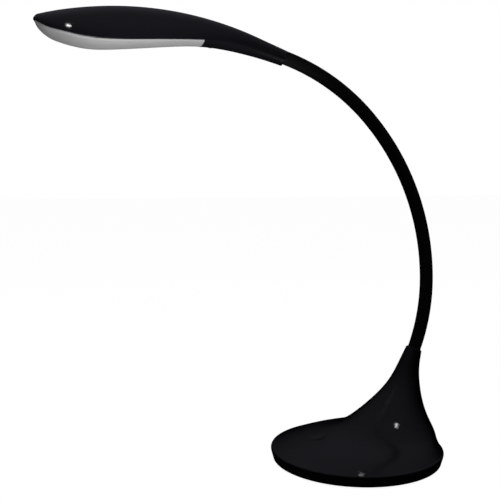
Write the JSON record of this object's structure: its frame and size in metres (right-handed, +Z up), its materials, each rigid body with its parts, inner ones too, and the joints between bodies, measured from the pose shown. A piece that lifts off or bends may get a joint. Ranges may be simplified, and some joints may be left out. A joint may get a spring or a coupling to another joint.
{
  "type": "gooseneck desk lamp",
  "caption": "Desk lamp with a round weighted base, a bendable gooseneck and a leaf-shaped head with a frosted light panel underneath; touch switch in the base.",
  "frame": {"origin": "centre of the foot pad, on the table", "axes": "+Z up; -X towards the head, +X towards the power inlet; the lamp is symmetric about Y = 0"},
  "size_m": [0.3623, 0.16, 0.4041],
  "materials": {
    "gloss_black": "moulded shell, high gloss",
    "black_plastic": "moulded, fine matt",
    "foot_rubber": "soft anti-slip sheet",
    "ballast_iron": "as cast",
    "screw_steel": "zinc plated",
    "black_screw": "blackened",
    "circuit_board": "solder mask",
    "white_board": "white solder mask on aluminium",
    "ferrite": "moulded ferrite",
    "capacitor_can": "shrink sleeve",
    "white_plastic": "moulded, satin",
    "copper": "bare foil",
    "spring_steel": "drawn wire",
    "contact_brass": "plated",
    "wire_insulation": "soft insulation",
    "fitting_steel": "nickel plated",
    "neck_steel": "coiled wire",
    "silicone": "matt silicone sleeve",
    "frosted_diffuser": "frosted, translucent white",
    "aluminium_plate": "mill finish",
    "led_phosphor": "phosphor under silicone"
  },
  "bodies": {
    "base": {"base_shell": "gloss_black", "bottom_cover": "black_plastic", "base_pad": "foot_rubber", "ballast_plate": "ballast_iron", "cover_screws": "screw_steel", "ballast_screws": "screw_steel", "control_board": "circuit_board", "board_screws": "screw_steel", "touch_chip": "black_plastic", "power_inductor": "ferrite", "filter_capacitor": "capacitor_can", "lead_socket": "white_plastic", "base_plug": "white_plastic", "touch_electrode": "copper", "touch_spring": "spring_steel", "dc_jack": "black_plastic", "jack_pin": "contact_brass", "inlet_wires": "wire_insulation", "base_ferrule": "fitting_steel", "base_nut": "fitting_steel", "neck_lead": "wire_insulation", "neck_sleeve_00": "silicone", "neck_coil_00": "neck_steel"},
    "link_01": {"neck_sleeve_01": "silicone", "neck_coil_01": "neck_steel"},
    "link_02": {"neck_sleeve_02": "silicone", "neck_coil_02": "neck_steel"},
    "link_03": {"neck_sleeve_03": "silicone", "neck_coil_03": "neck_steel"},
    "link_04": {"neck_sleeve_04": "silicone", "neck_coil_04": "neck_steel"},
    "link_05": {"neck_sleeve_05": "silicone", "neck_coil_05": "neck_steel"},
    "link_06": {"neck_sleeve_06": "silicone", "neck_coil_06": "neck_steel"},
    "link_07": {"neck_sleeve_07": "silicone", "neck_coil_07": "neck_steel"},
    "link_08": {"neck_sleeve_08": "silicone", "neck_coil_08": "neck_steel"},
    "link_09": {"neck_sleeve_09": "silicone", "neck_coil_09": "neck_steel"},
    "link_10": {"neck_sleeve_10": "silicone", "neck_coil_10": "neck_steel"},
    "link_11": {"neck_sleeve_11": "silicone", "neck_coil_11": "neck_steel"},
    "head": {"head_shell": "gloss_black", "under_cover": "gloss_black", "diffuser": "frosted_diffuser", "heat_sink": "aluminium_plate", "led_board": "white_board", "led_chips": "led_phosphor", "led_screws": "screw_steel", "reflector": "white_plastic", "tail_screws": "black_screw", "head_ferrule": "fitting_steel", "head_nut": "fitting_steel", "head_plug": "white_plastic", "neck_sleeve_12": "silicone", "neck_coil_12": "neck_steel"}
  },
  "joints": [
    {"name": "neck_bend_01", "type": "hinge", "parent": "base", "child": "link_01", "pos_m": [0.05991, 0, 0.11386], "axis": [0, -1, 0], "range_deg": [-24, 18], "deforming": ["neck_lead"]},
    {"name": "neck_sway_02", "type": "hinge", "parent": "link_01", "child": "link_02", "pos_m": [0.0654, 0, 0.14046], "axis": [-0.9916, 0, 0.1291], "range_deg": [-22, 22]},
    {"name": "neck_bend_03", "type": "hinge", "parent": "link_02", "child": "link_03", "pos_m": [0.0669, 0, 0.16757], "axis": [0, -1, 0], "range_deg": [-24, 18]},
    {"name": "neck_sway_04", "type": "hinge", "parent": "link_03", "child": "link_04", "pos_m": [0.06474, 0, 0.19465], "axis": [-0.9901, 0, -0.1402], "range_deg": [-22, 22]},
    {"name": "neck_bend_05", "type": "hinge", "parent": "link_04", "child": "link_05", "pos_m": [0.0593, 0, 0.22127], "axis": [0, -1, 0], "range_deg": [-24, 18]},
    {"name": "neck_sway_06", "type": "hinge", "parent": "link_05", "child": "link_06", "pos_m": [0.05067, 0, 0.24703], "axis": [-0.9272, 0, -0.3745], "range_deg": [-22, 22]},
    {"name": "neck_bend_07", "type": "hinge", "parent": "link_06", "child": "link_07", "pos_m": [0.03899, 0, 0.27155], "axis": [0, -1, 0], "range_deg": [-24, 18]},
    {"name": "neck_sway_08", "type": "hinge", "parent": "link_07", "child": "link_08", "pos_m": [0.02441, 0, 0.29447], "axis": [0.8097, 0, 0.5868], "range_deg": [-22, 22]},
    {"name": "neck_bend_09", "type": "hinge", "parent": "link_08", "child": "link_09", "pos_m": [0.00717, 0, 0.31546], "axis": [0, -1, 0], "range_deg": [-24, 18]},
    {"name": "neck_sway_10", "type": "hinge", "parent": "link_09", "child": "link_10", "pos_m": [-0.01271, 0, 0.33397], "axis": [0.6268, 0, 0.7792], "range_deg": [-22, 22]},
    {"name": "neck_bend_11", "type": "hinge", "parent": "link_10", "child": "link_11", "pos_m": [-0.03504, 0, 0.34942], "axis": [0, -1, 0], "range_deg": [-24, 18]},
    {"name": "neck_sway_12", "type": "hinge", "parent": "link_11", "child": "head", "pos_m": [-0.05937, 0, 0.36149], "axis": [0.3786, 0, 0.9256], "range_deg": [-22, 22]}
  ]
}
